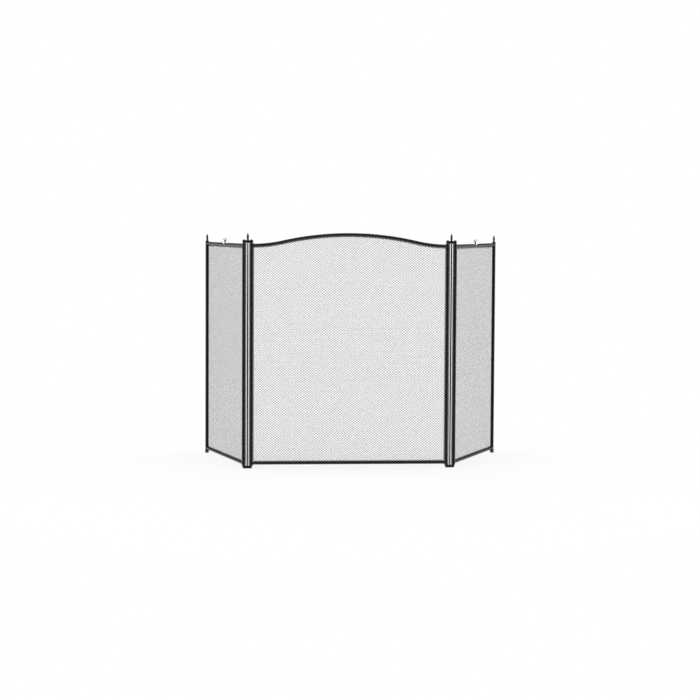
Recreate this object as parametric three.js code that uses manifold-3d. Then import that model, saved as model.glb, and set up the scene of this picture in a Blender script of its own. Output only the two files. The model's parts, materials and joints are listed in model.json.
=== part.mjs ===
// A three-fold fireplace screen: a woven wire centre panel under an arched rail, and two side
// panels that fold on double-pivot columns. Millimetres, +Z up, the room is on the -Y side and
// the fire on the +Y side. The origin is the middle of the footprint, on the floor.
import * as THREE from "three";
import { mergeVertices } from "three/addons/utils/BufferGeometryUtils.js";
import Module from "manifold-3d";

const wasm = await Module();
wasm.setup();

// ---- Driving dimensions ----

// Panels
const CENTRE_SPAN = 673.8; // between the axes of the centre panel's two stiles
const SIDE_SPAN = 315; // from a side panel's inner stile axis to its outer post axis
const STILE_HEIGHT = 766.1; // a stile with both of its end plugs
const ARCH_RISE = 38; // crown of the arched rail above its ends
const SHOULDER_RADIUS = 480; // hollow arc at each end of the arch; the crown's arc follows from it
const BOTTOM_RAIL_RISE = 8.2; // bottom rails' axis above the stiles' lower ends
const TOP_RAIL_DROP = 8.6; // top rails' axis below the stiles' upper ends
const LEFT_FOLD = 63; // degrees that each side panel stands back from the centre panel's plane
const RIGHT_FOLD = 55.5;

// Tube and rod stock
const STILE_DIAMETER = 12.7;
const RAIL_DIAMETER = 11.5;
const TUBE_WALL = 1.2;
const TOP_ROD_DIAMETER = 1.8; // mesh retaining rods
const SIDE_ROD_DIAMETER = 1.6;
const MESH_THICKNESS = 0.6;
const TIE_ROD_DIAMETER = 4;

// Fold columns
const COLUMN_GAP = 0.4; // between a column's polished tube and the stiles beside it
const BRACKET_WIDTH = 11;
const TOP_BRACKET_THICKNESS = 9;
const BOTTOM_BRACKET_THICKNESS = 2.5;
const FOOT_PAST_PIN = 2.4; // column foot beyond the pivot pins' axes
const FOOT_WIDTH = 10;
const FOOT_HEIGHT = 6.5;
const FOOT_CORNER = 2;
const NUT_ACROSS_CORNERS = 8;
const NUT_HEIGHT = 3.2;
const NUT_SET_IN = 0.6; // the nut's lower face above the floor
const PIN_DIAMETER = 4;
const PIN_ENGAGEMENT = 14; // length of a pivot pin inside its stile
const PIN_HEAD_DIAMETER = 8.4;
const PIN_HEAD_HEIGHT = 2.4;

// End pieces
const PLUG_DEPTH = 12; // length of every plug inside its tube
const LOWER_COLLAR = 4.4;
const LOWER_COLLAR_TAPER = 1.1;
const UPPER_COLLAR = 2;
const UPPER_CHAMFER = 0.5;
const POST_FOOT_HEIGHT = 11;
const POST_FOOT_BULGE = 0.85; // beyond the post's surface
const POST_PROUD = 0.8; // post end above the top of the side panel's top rail
const POST_CAP_LIP = 1.4; // beyond the post's surface
const POST_CAP_THICKNESS = 2;
const POST_STUD_HEIGHT = 7;

// Finials and knobs
const FINIAL_HEIGHT = 25;
const FINIAL_BORE_DEPTH = 9;
const FINIAL_BEAD_DIAMETER = 8.6;
const FINIAL_BEAD_LOW = 1.6; // the bead's lower edge above the finial's seat
const FINIAL_BEAD_HEIGHT = 4;
const FINIAL_NECK_WALL = 0.6;
const FINIAL_NECK_RISE = 1; // from the bead up to the neck
const FINIAL_SPIRE_DIAMETER = 7.9;
const FINIAL_SPIRE_RISE = 3.6; // from the neck up to the spire's widest place
const KNOB_HEIGHT = 14.6; // above the top of its rail
const KNOB_DIAMETER = 22.5;
const KNOB_NECK_DIAMETER = 14;
const KNOB_BASE_DIAMETER = 16;
const KNOB_SKIRT = 3; // how far the knob's base reaches down around its rail
const KNOB_STUD_LENGTH = 6; // inside the rail
const KNOB_RIM_THICKNESS = 0.8;
const KNOB_CROWN = 0.8; // the top's rise above its rim

// Clearances
const GAP = 0.3; // between pieces that rest on or sit in one another
const PIVOT_CLEARANCE = 0.35; // between a pivot pin and the plug that turns on it
const HOLE_EXTRA = 0.3; // a bolted or pressed hole's radius beyond its pin or rod

// Facets
const TUBE_SIDES = 16;
const SMALL_SIDES = 12;
const ARCH_STEPS = 32;
const ARCH_SIDES = 12;
const ROD_SIDES = 8;

// ---- Derived sizes ----

const stileRadius = STILE_DIAMETER / 2;
const railRadius = RAIL_DIAMETER / 2;
const stileBore = stileRadius - TUBE_WALL;
const plugRadius = stileBore - GAP;
const pinRadius = PIN_DIAMETER / 2;
const pivotBore = pinRadius + PIVOT_CLEARANCE;
const topRodRadius = TOP_ROD_DIAMETER / 2;
const sideRodRadius = SIDE_ROD_DIAMETER / 2;
const tieRadius = TIE_ROD_DIAMETER / 2;
const columnPitch = STILE_DIAMETER + COLUMN_GAP;
const footLength = 2 * (columnPitch + FOOT_PAST_PIN);
const halfSpan = CENTRE_SPAN / 2;

// Heights above the floor
const bottomBracketLow = FOOT_HEIGHT + GAP;
const bottomBracketTop = bottomBracketLow + BOTTOM_BRACKET_THICKNESS;
const stileLow = bottomBracketTop + GAP;
const stileTop = stileLow + STILE_HEIGHT;
const topBracketLow = stileTop + GAP;
const topBracketTop = topBracketLow + TOP_BRACKET_THICKNESS;
const columnFinialLow = topBracketTop + GAP;
const bottomRailAxis = stileLow + BOTTOM_RAIL_RISE;
const topRailAxis = stileTop - TOP_RAIL_DROP;
const postTop = topRailAxis + railRadius + POST_PROUD;
const postCapLow = postTop + GAP;
const postFinialLow = postCapLow + POST_CAP_THICKNESS + GAP;

// The mesh lies in the tubes' mid-plane and the retaining rods are right behind it.
const meshBack = MESH_THICKNESS / 2 + GAP;
const topRodDrop = railRadius + GAP + topRodRadius; // below the top rail's axis
const sideRodInset = stileRadius + GAP + sideRodRadius; // from a stile's axis
const topRodMargin = sideRodInset + sideRodRadius + GAP; // from a stile's axis to the rod's end

// ---- Materials ----

const blackEnamel = { color: 0x0c0c0d, roughness: 0.22, metalness: 0.3 };
const polishedNickel = { color: 0xd8d6d0, roughness: 0.08, metalness: 1 };
const blackWire = { color: 0x1b1b1c, roughness: 0.5, metalness: 0.6 };
const blackPolymer = { color: 0x101010, roughness: 0.6, metalness: 0 };
const zincSteel = { color: 0x9a9c9e, roughness: 0.4, metalness: 0.9 };

// ---- Shape helpers ----

function solidOf(geometry) {
  const bare = geometry.clone();
  bare.deleteAttribute("normal");
  bare.deleteAttribute("uv");
  const merged = mergeVertices(bare, 1e-3);
  const vertProperties = new Float32Array(merged.attributes.position.array);
  const triVerts = new Uint32Array(merged.index.array);
  return new wasm.Manifold(new wasm.Mesh({ numProp: 3, vertProperties, triVerts }));
}

function geometryOf(solid) {
  const { vertProperties, triVerts } = solid.getMesh();
  const geometry = new THREE.BufferGeometry();
  geometry.setAttribute("position", new THREE.BufferAttribute(vertProperties, 3));
  geometry.setIndex(new THREE.BufferAttribute(triVerts, 1));
  geometry.computeVertexNormals();
  return geometry;
}

function cut(geometry, ...tools) {
  const solid = tools.reduce((rest, tool) => rest.subtract(solidOf(tool)), solidOf(geometry));
  return geometryOf(solid);
}

function join(first, ...others) {
  const solid = others.reduce((sum, other) => sum.add(solidOf(other)), solidOf(first));
  return geometryOf(solid);
}

// Turns a profile of (radius, height) points, running up its outer side, about the Z axis.
function turned(profile, sides = TUBE_SIDES) {
  return new THREE.LatheGeometry(profile, sides).rotateX(Math.PI / 2);
}

// As turned, for a profile that encloses a bore and so closes on itself.
function turnedRing(profile, sides = TUBE_SIDES) {
  return turned([...profile, profile[0]], sides);
}

function at(radius, height) {
  return new THREE.Vector2(radius, height);
}

function uprightTube(radius, low, high) {
  const bore = radius - TUBE_WALL;
  return turnedRing([at(bore, low), at(radius, low), at(radius, high), at(bore, high)]);
}

function uprightRod(radius, low, high, sides = SMALL_SIDES) {
  const rod = new THREE.CylinderGeometry(radius, radius, high - low, sides);
  return rod.rotateX(Math.PI / 2).translate(0, 0, (low + high) / 2);
}

function rodBetween(start, end, radius, sides) {
  const along = end.clone().sub(start);
  const turn = new THREE.Quaternion();
  turn.setFromUnitVectors(new THREE.Vector3(0, 1, 0), along.clone().normalize());
  const middle = start.clone().add(end).multiplyScalar(0.5);
  const rod = new THREE.CylinderGeometry(radius, radius, along.length(), sides);
  return rod.applyQuaternion(turn).translate(middle.x, middle.y, middle.z);
}

// The space that a stile takes, with the gap that a welded rail keeps to it.
function stileSpace(x) {
  const reach = uprightRod(stileRadius + GAP, 0, stileTop + ARCH_RISE, TUBE_SIDES);
  return reach.translate(x, 0, 0);
}

// A hole in a plate whose flat sides lie outside a circle of this radius.
function roundHole(x, y, radius) {
  const corner = radius / Math.cos(Math.PI / SMALL_SIDES);
  const corners = Array.from({ length: SMALL_SIDES }, (_, i) => {
    const angle = (-2 * Math.PI * i) / SMALL_SIDES;
    return at(x + corner * Math.cos(angle), y + corner * Math.sin(angle));
  });
  return new THREE.Path(corners);
}

// ---- The arch ----

const crownRadius =
  halfSpan ** 2 / (2 * ARCH_RISE) + ARCH_RISE / 2 - SHOULDER_RADIUS;
const archAngle = Math.asin(halfSpan / (SHOULDER_RADIUS + crownRadius));
const shoulderCentre = topRailAxis + SHOULDER_RADIUS;
const crownCentre = topRailAxis + ARCH_RISE - crownRadius;

// The arched rail's axis, or a line a set distance below it, from one stile's axis to the other's.
class ArchCurve extends THREE.Curve {
  constructor(below, y, margin) {
    super();
    this.shoulder = SHOULDER_RADIUS + below;
    this.crown = crownRadius - below;
    this.y = y;
    this.start = Math.asin(margin / this.shoulder);
  }

  getPoint(t, target = new THREE.Vector3()) {
    const side = t < 0.5 ? -1 : 1;
    const shoulderLength = this.shoulder * (archAngle - this.start);
    const crownLength = this.crown * archAngle;
    const travelled = (1 - Math.abs(2 * t - 1)) * (shoulderLength + crownLength);
    if (travelled < shoulderLength) {
      const angle = this.start + travelled / this.shoulder;
      const x = side * (halfSpan - this.shoulder * Math.sin(angle));
      return target.set(x, this.y, shoulderCentre - this.shoulder * Math.cos(angle));
    }
    const angle = archAngle - (travelled - shoulderLength) / this.crown;
    const x = side * this.crown * Math.sin(angle);
    return target.set(x, this.y, crownCentre + this.crown * Math.cos(angle));
  }
}

function ringSection(radius, bore) {
  const section = new THREE.Shape().absarc(0, 0, radius, 0, 2 * Math.PI);
  if (bore) section.holes.push(new THREE.Path().absarc(0, 0, bore, 0, 2 * Math.PI, true));
  return section;
}

function archedBar(path, radius, bore, sides) {
  return new THREE.ExtrudeGeometry(ringSection(radius, bore), {
    extrudePath: path,
    steps: ARCH_STEPS,
    curveSegments: sides / 2,
  });
}

// ---- Panel pieces, in a panel's own plane: x along it, z up, +y behind it ----

function straightRail(from, to, height, radius = railRadius) {
  const bore = radius - TUBE_WALL;
  const length = Math.abs(to - from);
  const profile = [at(bore, 0), at(radius, 0), at(radius, length), at(bore, length)];
  const rail = turnedRing(profile).rotateY(Math.PI / 2);
  rail.translate(Math.min(from, to), 0, height);
  return cut(rail, stileSpace(from), stileSpace(to));
}

function archRail() {
  const rail = archedBar(new ArchCurve(0, 0, 0), railRadius, railRadius - TUBE_WALL, ARCH_SIDES);
  return cut(rail, stileSpace(-halfSpan), stileSpace(halfSpan));
}

// A flat sheet the size of the woven mesh, from an outline in the panel's plane.
function meshSheet(outline) {
  const sheet = new THREE.ExtrudeGeometry(outline, {
    depth: MESH_THICKNESS,
    bevelEnabled: false,
    curveSegments: ARCH_STEPS / 4,
  });
  return sheet.rotateX(Math.PI / 2).translate(0, MESH_THICKNESS / 2, 0);
}

function centreMesh() {
  const edge = halfSpan - stileRadius - GAP;
  const low = bottomRailAxis + railRadius + GAP;
  const below = railRadius + GAP;
  const shoulder = SHOULDER_RADIUS + below;
  const start = Math.asin((halfSpan - edge) / shoulder);
  const quarter = Math.PI / 2;
  const outline = new THREE.Shape();
  outline.moveTo(edge, low);
  outline.lineTo(-edge, low);
  outline.absarc(-halfSpan, shoulderCentre, shoulder, start - quarter, archAngle - quarter);
  outline.absarc(0, crownCentre, crownRadius - below, quarter + archAngle, quarter - archAngle, true);
  outline.absarc(halfSpan, shoulderCentre, shoulder, -quarter - archAngle, -quarter - start);
  return meshSheet(outline);
}

function sideMesh(outward) {
  const near = outward * (stileRadius + GAP);
  const far = outward * (SIDE_SPAN - stileRadius - GAP);
  const low = bottomRailAxis + railRadius + GAP;
  const high = topRailAxis - railRadius - GAP;
  const corners = [at(near, low), at(far, low), at(far, high), at(near, high)];
  return meshSheet(new THREE.Shape(corners));
}

// The bent rod that holds the mesh down both stiles and along the bottom rail.
function meshSideRod(from, to) {
  const left = Math.min(from, to) + sideRodInset;
  const right = Math.max(from, to) - sideRodInset;
  const low = bottomRailAxis + railRadius + GAP + sideRodRadius;
  const high = topRailAxis - railRadius - GAP;
  const behind = meshBack + sideRodRadius;
  const corners = [[left, high], [left, low], [right, low], [right, high]].map(
    ([x, z]) => new THREE.Vector3(x, behind, z),
  );
  const legs = [0, 1, 2].map((i) =>
    rodBetween(corners[i], corners[i + 1], sideRodRadius, ROD_SIDES),
  );
  const bends = corners.slice(1, 3).map(({ x, y, z }) =>
    new THREE.SphereGeometry(sideRodRadius, ROD_SIDES, ROD_SIDES / 2).translate(x, y, z),
  );
  return join(...legs, ...bends);
}

function sideTopRod(outward) {
  const behind = meshBack + topRodRadius;
  const height = topRailAxis - topRodDrop;
  const near = new THREE.Vector3(outward * topRodMargin, behind, height);
  const far = new THREE.Vector3(outward * (SIDE_SPAN - topRodMargin), behind, height);
  return rodBetween(near, far, topRodRadius, ROD_SIDES);
}

function centreTopRod() {
  const path = new ArchCurve(topRodDrop, meshBack + topRodRadius, topRodMargin);
  return archedBar(path, topRodRadius, 0, ROD_SIDES);
}

function stileTube() {
  return uprightTube(stileRadius, stileLow + LOWER_COLLAR + GAP, stileTop - UPPER_COLLAR - GAP);
}

// A plug with a tapered collar that closes a stile's lower end and turns on the pin below.
function lowerPlug() {
  const collarTop = stileLow + LOWER_COLLAR;
  const plugTop = collarTop + PLUG_DEPTH;
  const collar = new THREE.Path();
  collar.moveTo(stileRadius - LOWER_COLLAR_TAPER, stileLow);
  collar.quadraticCurveTo(stileRadius, stileLow + LOWER_COLLAR / 3, stileRadius, collarTop);
  return turnedRing([
    at(pivotBore, stileLow),
    ...collar.getPoints(3),
    at(plugRadius, collarTop),
    at(plugRadius, plugTop),
    at(pivotBore, plugTop),
  ]);
}

function upperPlug() {
  const collarLow = stileTop - UPPER_COLLAR;
  const plugLow = collarLow - PLUG_DEPTH;
  return turnedRing([
    at(pivotBore, plugLow),
    at(plugRadius, plugLow),
    at(plugRadius, collarLow),
    at(stileRadius, collarLow),
    at(stileRadius, stileTop - UPPER_CHAMFER),
    at(stileRadius - UPPER_CHAMFER, stileTop),
    at(pivotBore, stileTop),
  ]);
}

// ---- Outer post pieces ----

function postTube() {
  return uprightTube(stileRadius, POST_FOOT_HEIGHT + GAP, postTop);
}

function postFoot() {
  const bulge = stileRadius + POST_FOOT_BULGE;
  const swell = new THREE.Path();
  swell.moveTo(bulge * 0.6, 0);
  swell.quadraticCurveTo(bulge, 0, bulge, POST_FOOT_HEIGHT * 0.4);
  swell.quadraticCurveTo(bulge, POST_FOOT_HEIGHT * 0.75, stileRadius, POST_FOOT_HEIGHT);
  return turned([
    at(0, 0),
    ...swell.getPoints(4),
    at(plugRadius, POST_FOOT_HEIGHT),
    at(plugRadius, POST_FOOT_HEIGHT + PLUG_DEPTH),
    at(0, POST_FOOT_HEIGHT + PLUG_DEPTH),
  ]);
}

function postCap() {
  const lip = stileRadius + POST_CAP_LIP;
  const capTop = postCapLow + POST_CAP_THICKNESS;
  return turned([
    at(0, postTop - PLUG_DEPTH),
    at(plugRadius, postTop - PLUG_DEPTH),
    at(plugRadius, postCapLow),
    at(lip, postCapLow),
    at(lip, capTop - POST_CAP_THICKNESS / 3),
    at(lip - POST_CAP_THICKNESS / 3, capTop),
    at(tieRadius, capTop),
    at(tieRadius, capTop + POST_STUD_HEIGHT),
    at(0, capTop + POST_STUD_HEIGHT),
  ]);
}

// ---- Finial and knob ----

// A spire over a bead, with a blind bore for the rod or stud that it screws on to.
function finial() {
  const bead = FINIAL_BEAD_DIAMETER / 2;
  const beadTop = FINIAL_BEAD_LOW + FINIAL_BEAD_HEIGHT;
  const beadMiddle = FINIAL_BEAD_LOW + FINIAL_BEAD_HEIGHT / 2;
  const bore = tieRadius + HOLE_EXTRA;
  const neck = bore + FINIAL_NECK_WALL;
  const neckHeight = beadTop + FINIAL_NECK_RISE;
  const spire = FINIAL_SPIRE_DIAMETER / 2;
  const spireWidest = neckHeight + FINIAL_SPIRE_RISE;
  const taperBend = (spireWidest + FINIAL_HEIGHT) / 2;
  const outline = new THREE.Path();
  outline.moveTo(bead * 0.8, 0);
  outline.lineTo(bead * 0.8, FINIAL_BEAD_LOW);
  outline.quadraticCurveTo(bead * 1.12, beadMiddle, bead * 0.8, beadTop);
  outline.lineTo(neck, neckHeight);
  outline.quadraticCurveTo(spire, neckHeight + 1, spire, spireWidest);
  outline.quadraticCurveTo(spire, taperBend, 0.6, FINIAL_HEIGHT - 0.5);
  return turned(
    [
      at(0, FINIAL_BORE_DEPTH),
      at(bore, FINIAL_BORE_DEPTH),
      at(bore, 0),
      ...outline.getPoints(4),
      at(0, FINIAL_HEIGHT),
    ],
    SMALL_SIDES,
  );
}

// A flared lift knob whose base is hollowed to sit over the rail, with its screw in one piece.
function knob() {
  const crest = topRailAxis + railRadius;
  const rim = KNOB_DIAMETER / 2;
  const neck = KNOB_NECK_DIAMETER / 2;
  const top = crest + KNOB_HEIGHT;
  const rimTop = top - KNOB_CROWN;
  const rimLow = rimTop - KNOB_RIM_THICKNESS;
  const outline = new THREE.Path();
  outline.moveTo(KNOB_BASE_DIAMETER / 2, crest - KNOB_SKIRT);
  outline.quadraticCurveTo(neck, crest, neck, crest + KNOB_HEIGHT * 0.4);
  outline.quadraticCurveTo(neck, rimLow - 0.8, rim, rimLow);
  outline.lineTo(rim, rimTop);
  outline.quadraticCurveTo(rim * 0.7, top, 0, top);
  const body = turned([at(0, crest - KNOB_SKIRT), ...outline.getPoints(5)]);
  const hollow = new THREE.CylinderGeometry(
    railRadius + GAP,
    railRadius + GAP,
    KNOB_DIAMETER,
    TUBE_SIDES,
  );
  hollow.rotateZ(Math.PI / 2).translate(0, 0, topRailAxis);
  const stud = uprightRod(pinRadius, crest - KNOB_STUD_LENGTH, crest + 1);
  return join(cut(body, hollow), stud);
}

function knobHole() {
  return uprightRod(pinRadius + HOLE_EXTRA, topRailAxis, topRailAxis + RAIL_DIAMETER);
}

// ---- Column pieces, about the polished tube's axis ----

function bracket(low, thickness, outerHole) {
  const end = BRACKET_WIDTH / 2;
  const quarter = Math.PI / 2;
  const outline = new THREE.Shape();
  outline.absarc(columnPitch, 0, end, -quarter, quarter);
  outline.absarc(-columnPitch, 0, end, quarter, 3 * quarter);
  outline.holes.push(roundHole(0, 0, tieRadius + HOLE_EXTRA));
  outline.holes.push(roundHole(columnPitch, 0, outerHole));
  outline.holes.push(roundHole(-columnPitch, 0, outerHole));
  const plate = new THREE.ExtrudeGeometry(outline, {
    depth: thickness,
    bevelEnabled: false,
    curveSegments: 5,
  });
  return plate.translate(0, 0, low);
}

// The block that the column stands on, hollowed underneath for the tie rod's nut.
function footBlock() {
  const x = footLength / 2 - FOOT_CORNER;
  const y = FOOT_WIDTH / 2 - FOOT_CORNER;
  const quarter = Math.PI / 2;
  const outline = new THREE.Shape();
  outline.absarc(x, y, FOOT_CORNER, 0, quarter);
  outline.absarc(-x, y, FOOT_CORNER, quarter, 2 * quarter);
  outline.absarc(-x, -y, FOOT_CORNER, 2 * quarter, 3 * quarter);
  outline.absarc(x, -y, FOOT_CORNER, 3 * quarter, 4 * quarter);
  outline.holes.push(roundHole(0, 0, tieRadius + HOLE_EXTRA));
  const block = new THREE.ExtrudeGeometry(outline, {
    depth: FOOT_HEIGHT,
    bevelEnabled: false,
    curveSegments: 3,
  });
  const pocket = uprightRod(
    NUT_ACROSS_CORNERS / 2 + HOLE_EXTRA,
    -1,
    NUT_SET_IN + NUT_HEIGHT + GAP,
    TUBE_SIDES,
  );
  return cut(block, pocket);
}

function tieNut() {
  const corners = Array.from({ length: 6 }, (_, i) => {
    const angle = (i * Math.PI) / 3;
    const radius = NUT_ACROSS_CORNERS / 2;
    return at(radius * Math.cos(angle), radius * Math.sin(angle));
  });
  const outline = new THREE.Shape(corners);
  outline.holes.push(roundHole(0, 0, tieRadius + HOLE_EXTRA));
  const nut = new THREE.ExtrudeGeometry(outline, {
    depth: NUT_HEIGHT,
    bevelEnabled: false,
    curveSegments: 6,
  });
  return nut.translate(0, 0, NUT_SET_IN);
}

function tieRod() {
  return uprightRod(tieRadius, NUT_SET_IN, columnFinialLow + FINIAL_BORE_DEPTH - GAP);
}

function lowerPin() {
  return uprightRod(pinRadius, bottomBracketLow, stileLow + PIN_ENGAGEMENT);
}

// A pivot pin with a domed head that rests on the top bracket.
function upperPin() {
  const headLow = topBracketTop + GAP;
  const head = PIN_HEAD_DIAMETER / 2;
  const dome = new THREE.Path();
  dome.absellipse(0, headLow, head, PIN_HEAD_HEIGHT, 0, Math.PI / 2);
  return turned(
    [
      at(0, stileTop - PIN_ENGAGEMENT),
      at(pinRadius, stileTop - PIN_ENGAGEMENT),
      at(pinRadius, headLow),
      ...dome.getPoints(2),
    ],
    SMALL_SIDES,
  );
}

// ---- Assembly ----

function piece(name, geometry, look, x = 0, z = 0) {
  const mesh = new THREE.Mesh(geometry, new THREE.MeshStandardMaterial(look));
  mesh.name = name;
  mesh.position.set(x, 0, z);
  return mesh;
}

function centrePanel() {
  const panel = new THREE.Group();
  panel.add(
    piece("centre_arch_rail", archRail(), blackEnamel),
    piece("centre_bottom_rail", straightRail(-halfSpan, halfSpan, bottomRailAxis), blackEnamel),
    piece("centre_mesh", centreMesh(), blackWire),
    piece("centre_mesh_top_rod", centreTopRod(), blackEnamel),
    piece("centre_mesh_side_rod", meshSideRod(-halfSpan, halfSpan), blackEnamel),
  );
  for (const [side, x] of [["left", -halfSpan], ["right", halfSpan]]) {
    panel.add(
      piece(`centre_${side}_stile`, stileTube(), blackEnamel, x),
      piece(`centre_${side}_lower_plug`, lowerPlug(), blackPolymer, x),
      piece(`centre_${side}_upper_plug`, upperPlug(), blackPolymer, x),
    );
  }
  return panel;
}

// A side panel about its inner stile's axis. outward is -1 on the left and 1 on the right.
function sidePanel(side, outward) {
  const panel = new THREE.Group();
  const post = outward * SIDE_SPAN;
  const middle = post / 2;
  const topRail = cut(
    straightRail(0, post, topRailAxis),
    knobHole().translate(middle, 0, 0),
  );
  panel.add(
    piece(`${side}_inner_stile`, stileTube(), blackEnamel),
    piece(`${side}_lower_plug`, lowerPlug(), blackPolymer),
    piece(`${side}_upper_plug`, upperPlug(), blackPolymer),
    piece(`${side}_outer_post`, postTube(), blackEnamel, post),
    piece(`${side}_post_foot`, postFoot(), blackPolymer, post),
    piece(`${side}_post_cap`, postCap(), blackEnamel, post),
    piece(`${side}_post_finial`, finial(), blackEnamel, post, postFinialLow),
    piece(`${side}_top_rail`, topRail, blackEnamel),
    piece(`${side}_bottom_rail`, straightRail(0, post, bottomRailAxis), blackEnamel),
    piece(`${side}_mesh`, sideMesh(outward), blackWire),
    piece(`${side}_mesh_top_rod`, sideTopRod(outward), blackEnamel),
    piece(`${side}_mesh_side_rod`, meshSideRod(0, post), blackEnamel),
    piece(`${side}_knob`, knob(), polishedNickel, middle),
  );
  return panel;
}

// A fold column about its polished tube. inward is the way to the centre panel.
function foldColumn(side, inward) {
  const column = new THREE.Group();
  const pinHole = pinRadius + HOLE_EXTRA;
  const tube = uprightTube(stileRadius, stileLow, stileTop);
  column.add(
    piece(`${side}_column_tube`, tube, polishedNickel),
    piece(
      `${side}_top_bracket`,
      bracket(topBracketLow, TOP_BRACKET_THICKNESS, pinHole),
      blackEnamel,
    ),
    piece(
      `${side}_bottom_bracket`,
      bracket(bottomBracketLow, BOTTOM_BRACKET_THICKNESS, pinHole),
      blackEnamel,
    ),
    piece(`${side}_column_foot`, footBlock(), blackPolymer),
    piece(`${side}_tie_rod`, tieRod(), zincSteel),
    piece(`${side}_tie_nut`, tieNut(), zincSteel),
    piece(`${side}_column_finial`, finial(), blackEnamel, 0, columnFinialLow),
  );
  for (const [panel, x] of [
    ["centre", inward * columnPitch],
    ["side", -inward * columnPitch],
  ]) {
    column.add(
      piece(`${side}_upper_pin_${panel}`, upperPin(), blackEnamel, x),
      piece(`${side}_lower_pin_${panel}`, lowerPin(), zincSteel, x),
    );
  }
  return column;
}

function foldScreen() {
  const screen = new THREE.Group();
  screen.add(centrePanel());
  for (const [side, outward, fold] of [["left", -1, LEFT_FOLD], ["right", 1, RIGHT_FOLD]]) {
    const column = foldColumn(side, -outward);
    column.position.x = outward * (halfSpan + columnPitch);
    const panel = sidePanel(side, outward);
    panel.position.x = outward * (halfSpan + 2 * columnPitch);
    panel.rotation.z = outward * THREE.MathUtils.degToRad(fold);
    screen.add(column, panel);
  }
  return screen;
}

// Puts the origin under the middle of the whole screen.
function centredOnFootprint(screen) {
  screen.updateMatrixWorld(true);
  const box = new THREE.Box3().setFromObject(screen, true);
  const middle = box.getCenter(new THREE.Vector3());
  screen.position.set(-middle.x, -middle.y, -box.min.z);
  const part = new THREE.Group();
  part.add(screen);
  return part;
}

export default centredOnFootprint(foldScreen());
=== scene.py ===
"""Finished looks for a three-fold fireplace screen: enamelled tube frames, polished fold columns,
woven wire mesh, turned finials and knobs, on a plain studio floor."""

import json
import math
from contextlib import contextmanager

import bpy
from bpy.props import FloatProperty, FloatVectorProperty, IntProperty, PointerProperty
from mathutils import Matrix, Vector


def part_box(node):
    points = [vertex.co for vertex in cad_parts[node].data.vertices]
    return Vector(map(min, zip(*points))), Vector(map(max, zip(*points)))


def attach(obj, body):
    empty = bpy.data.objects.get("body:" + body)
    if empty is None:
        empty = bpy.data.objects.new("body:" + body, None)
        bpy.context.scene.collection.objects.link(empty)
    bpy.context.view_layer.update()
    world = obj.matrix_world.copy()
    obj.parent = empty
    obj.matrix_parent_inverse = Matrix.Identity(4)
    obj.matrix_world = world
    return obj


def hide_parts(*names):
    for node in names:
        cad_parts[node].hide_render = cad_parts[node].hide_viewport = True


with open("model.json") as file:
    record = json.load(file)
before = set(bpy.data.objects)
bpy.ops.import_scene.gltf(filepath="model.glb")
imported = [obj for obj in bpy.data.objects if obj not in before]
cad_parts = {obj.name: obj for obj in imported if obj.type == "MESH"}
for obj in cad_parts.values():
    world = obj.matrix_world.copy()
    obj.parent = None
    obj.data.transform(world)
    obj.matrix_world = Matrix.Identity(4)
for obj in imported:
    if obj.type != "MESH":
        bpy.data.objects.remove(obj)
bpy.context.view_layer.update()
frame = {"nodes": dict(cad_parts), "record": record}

bl_info = {
    "name": "Fireplace Screen",
    "version": (1, 0, 0),
    "blender": (4, 5, 0),
    "location": "View3D > Sidebar > Fire Screen",
    "description": "Models and finishes a folding fireplace screen around its packed frame",
    "category": "Add Mesh",
}

WHITE = (1, 1, 1, 1)
QUARTER = math.pi / 2
WHOLE = 2 * math.pi
MM = 0.001

SIDES = {"left": -1, "right": 1}
UP = Vector((0, 0, 1))

MERGE = 0.002 * MM  # points closer than this are one point
SHARP = math.radians(60)  # edges that turn more than this are bevelled
CHAMFER = 0.6 * MM  # on the hidden ends of plugs, feet and caps
SNUG = 0.05 * MM  # room between pieces that fit in or rest on each other
BORE_EASE = 0.1 * MM  # radial room in a drilled hole
DRILL_START = UP * -0.01  # a drill runs from below a fitting to above it
DRILL_END = UP * 0.03


# ---------------------------------------------------------------- places taken from the frame


def low(node):
    return Vector(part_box(node)[0])


def high(node):
    return Vector(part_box(node)[1])


def middle(node):
    return (low(node) + high(node)) / 2


def width(node):
    return high(node).x - low(node).x


def on_floor(node):
    """The foot of a node's upright axis."""
    place = middle(node)
    return Vector((place.x, place.y, 0))


STILE_RADIUS = width("centre_left_stile") / 2
RAIL_RADIUS = (high("centre_bottom_rail").z - low("centre_bottom_rail").z) / 2
TOP_ROD_RADIUS = (high("centre_mesh_top_rod").y - low("centre_mesh_top_rod").y) / 2
TOP_ROD_PLANE = middle("centre_mesh_top_rod").y - on_floor("centre_left_stile").y
SIDE_ROD_RADIUS = (high("centre_mesh_side_rod").y - low("centre_mesh_side_rod").y) / 2
SIDE_ROD_PLANE = middle("centre_mesh_side_rod").y - on_floor("centre_left_stile").y
GAP = low("left_column_tube").z - high("left_bottom_bracket").z
TOUCH = GAP * 0.85  # how far a piece reaches into a gap to meet its neighbour
STILE_LOW = low("centre_left_lower_plug").z
STILE_TOP = high("centre_left_upper_plug").z
LOWER_COLLAR_TOP = low("centre_left_stile").z - GAP
UPPER_COLLAR_LOW = high("centre_left_stile").z + GAP
BOTTOM_RAIL = middle("centre_bottom_rail").z
TOP_RAIL = middle("left_top_rail").z
ARCH_RISE = high("centre_arch_rail").z - TOP_RAIL - RAIL_RADIUS
COLUMN_PITCH = on_floor("centre_left_stile").x - on_floor("left_column_tube").x


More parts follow.
